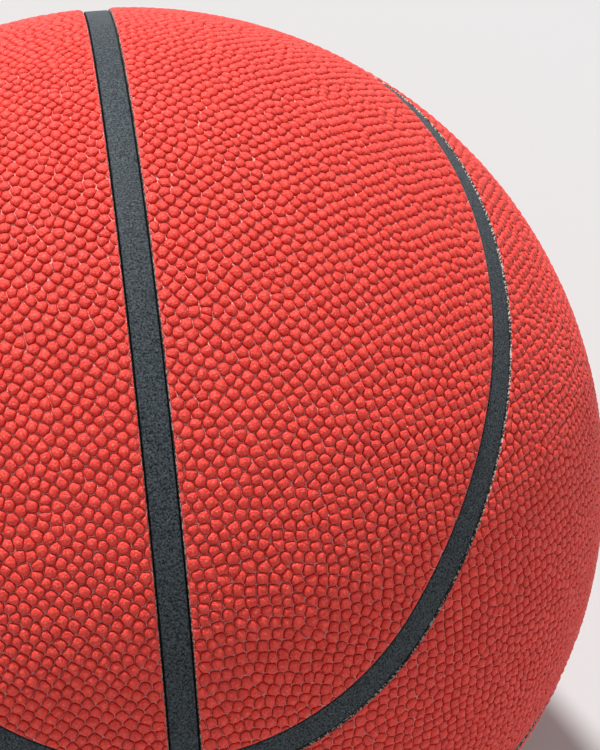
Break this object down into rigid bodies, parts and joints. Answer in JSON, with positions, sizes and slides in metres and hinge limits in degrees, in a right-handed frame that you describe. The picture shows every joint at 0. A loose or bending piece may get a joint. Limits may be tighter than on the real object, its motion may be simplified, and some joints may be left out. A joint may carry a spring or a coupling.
{
  "type": "basketball",
  "caption": "Standard size inflatable ball: red pebbled cover panels between dark rubber channel strips, over sponge backing, carcass, thread winding, bladder and needle valve.",
  "frame": {"origin": "centre of the ball", "axes": "+Z through the middle of the top oval seam, +Y along the ovals towards the back, +X to the right; the equator seam lies in Z = 0 and the long seam in X = 0"},
  "size_m": [0.24, 0.2398, 0.24],
  "materials": {
    "cover": "satin",
    "sponge_backing": "matte",
    "channel_rubber": "matte",
    "carcass_rubber": "matte",
    "winding_thread": "matte",
    "bladder_rubber": "satin",
    "valve_rubber": "satin",
    "patch_rubber": "matte"
  },
  "bodies": {
    "ball": {"oval_panel_top_right": "cover", "oval_panel_top_left": "cover", "oval_panel_bottom_right": "cover", "oval_panel_bottom_left": "cover", "band_panel_top_right": "cover", "band_panel_top_left": "cover", "band_panel_bottom_right": "cover", "band_panel_bottom_left": "cover", "oval_backing_top_right": "sponge_backing", "oval_backing_top_left": "sponge_backing", "oval_backing_bottom_right": "sponge_backing", "oval_backing_bottom_left": "sponge_backing", "band_backing_top_right": "sponge_backing", "band_backing_top_left": "sponge_backing", "band_backing_bottom_right": "sponge_backing", "band_backing_bottom_left": "sponge_backing", "equator_strip": "channel_rubber", "oval_strip_top": "channel_rubber", "oval_strip_bottom": "channel_rubber", "seam_strip_top": "channel_rubber", "seam_strip_bottom": "channel_rubber", "seam_strip_front_upper": "channel_rubber", "seam_strip_front_lower": "channel_rubber", "seam_strip_back_upper": "channel_rubber", "seam_strip_back_lower": "channel_rubber", "carcass": "carcass_rubber", "winding_layer": "winding_thread", "bladder": "bladder_rubber", "valve_housing": "valve_rubber", "valve_patch": "patch_rubber", "balance_patch": "patch_rubber"},
    "valve_core": {"valve_core": "valve_rubber"}
  },
  "joints": [
    {"name": "valve_core_pull", "type": "slide", "parent": "ball", "child": "valve_core", "axis": [0.3601, -0.8913, 0.2756], "range_m": [0, 0.02]}
  ]
}
